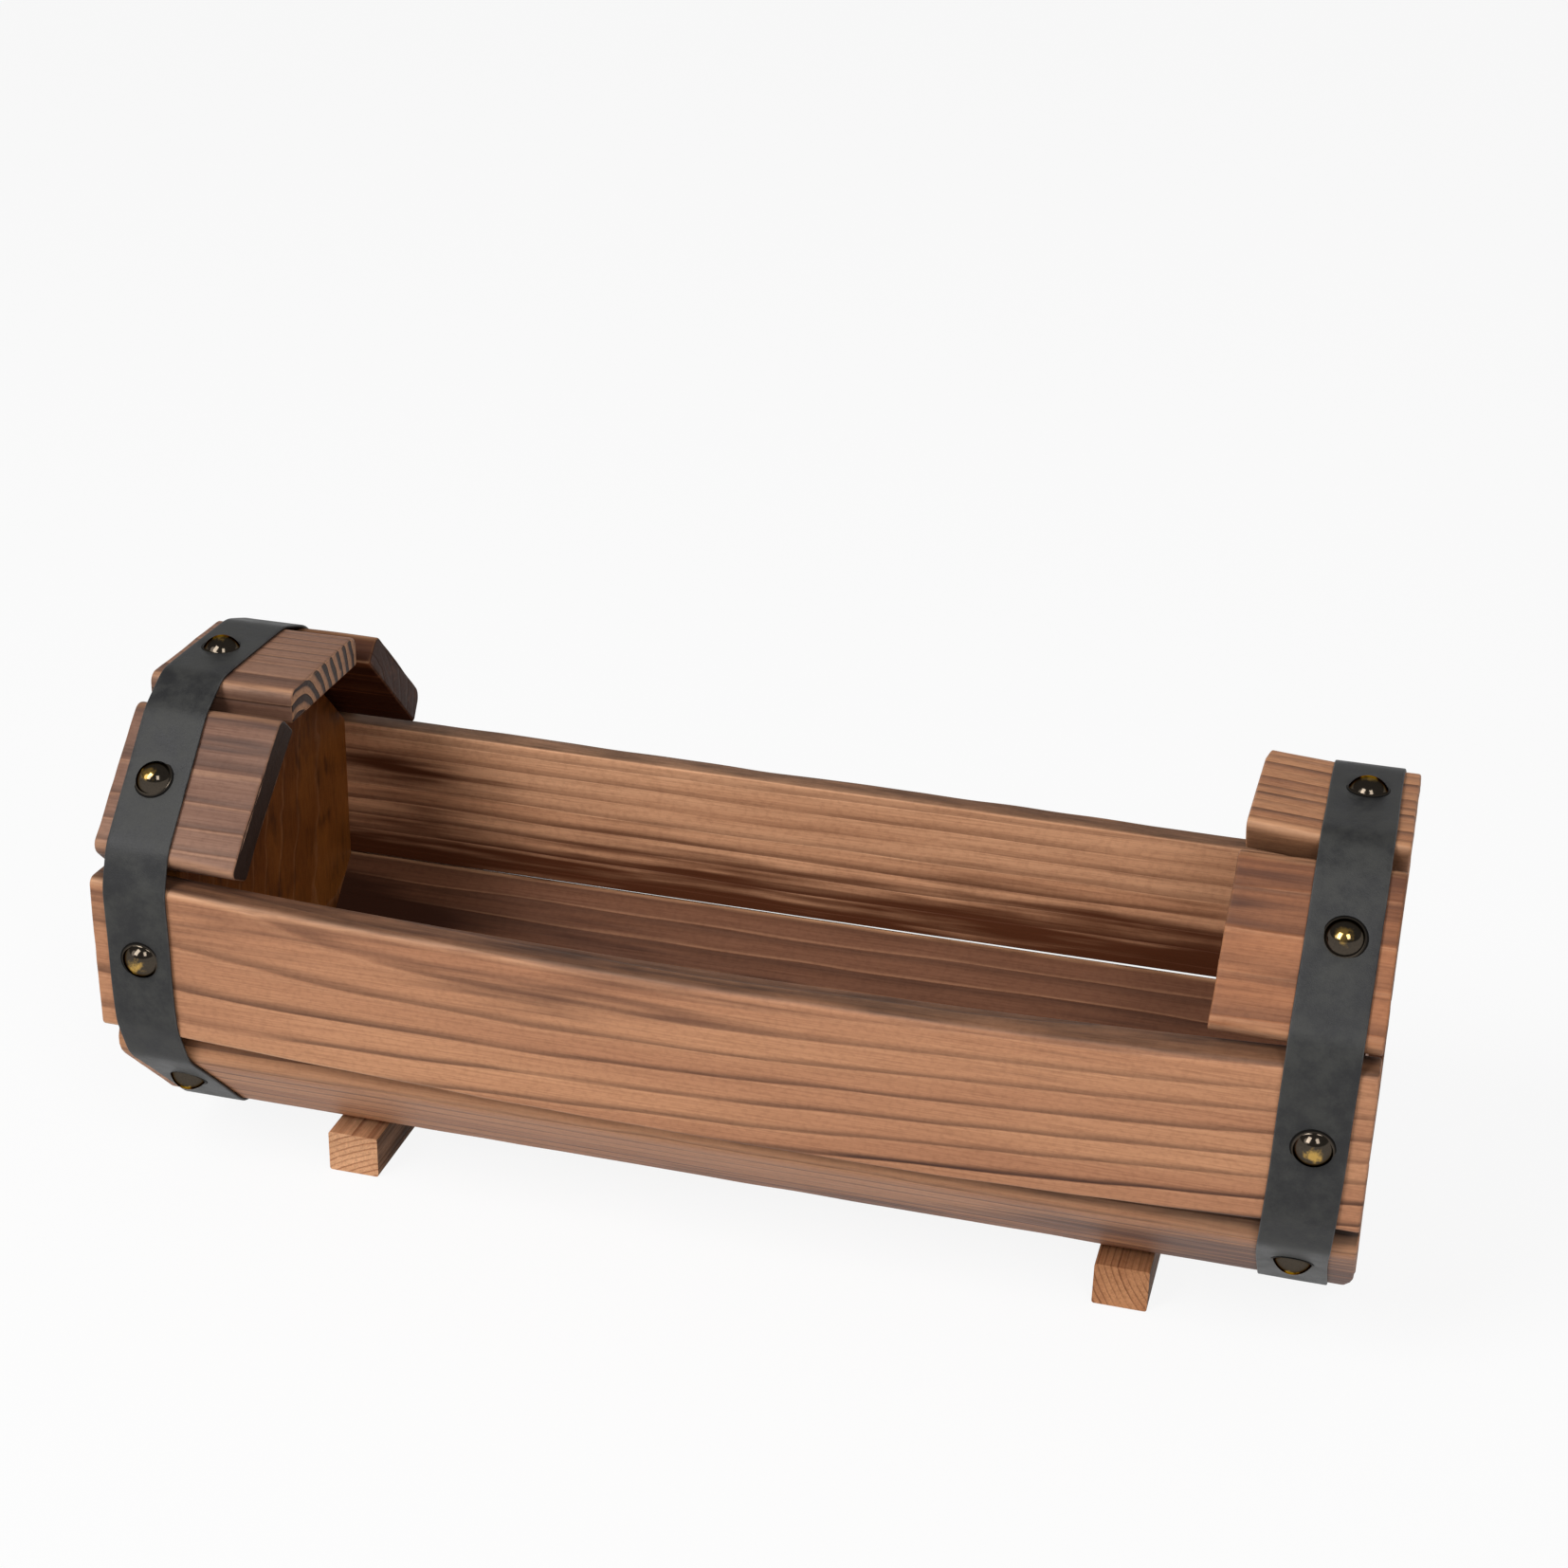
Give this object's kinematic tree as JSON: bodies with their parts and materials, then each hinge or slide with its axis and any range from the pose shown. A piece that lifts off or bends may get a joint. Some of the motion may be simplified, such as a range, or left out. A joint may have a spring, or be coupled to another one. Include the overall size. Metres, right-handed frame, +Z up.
{
  "type": "half barrel planter",
  "caption": "Horizontal octagonal half-barrel planter of burnt fir boards, open along the top, closed by end panels, bound by tacked black straps and standing on cross battens.",
  "frame": {"origin": "on the floor under the middle of the barrel, midway between the battens", "axes": "+X along the barrel towards its right end, +Y towards the back, +Z up out of the open top"},
  "size_m": [0.38, 0.1544, 0.1626],
  "materials": {
    "stave_wood": "burnt and brushed fir with a thin satin stain",
    "panel_wood": "burnt fir, blotchy and matte",
    "foot_wood": "plain sawn softwood, pale end grain",
    "hoop": "matte charcoal strap",
    "tack": "dark antique bronze, glossy",
    "nail": "plain wire nail"
  },
  "bodies": {
    "root": {"stave_bottom": "stave_wood", "stave_front_lower": "stave_wood", "stave_front": "stave_wood", "stave_back_lower": "stave_wood", "stave_back": "stave_wood", "stave_front_upper_left": "stave_wood", "stave_top_left": "stave_wood", "stave_back_upper_left": "stave_wood", "stave_front_upper_right": "stave_wood", "stave_top_right": "stave_wood", "stave_back_upper_right": "stave_wood", "end_panel_left": "panel_wood", "end_panel_right": "panel_wood", "hoop_left": "hoop", "hoop_right": "hoop", "hoop_tacks_left": "tack", "hoop_tacks_right": "tack", "foot_left": "foot_wood", "foot_right": "foot_wood", "foot_nails_left": "nail", "foot_nails_right": "nail"}
  },
  "joints": []
}
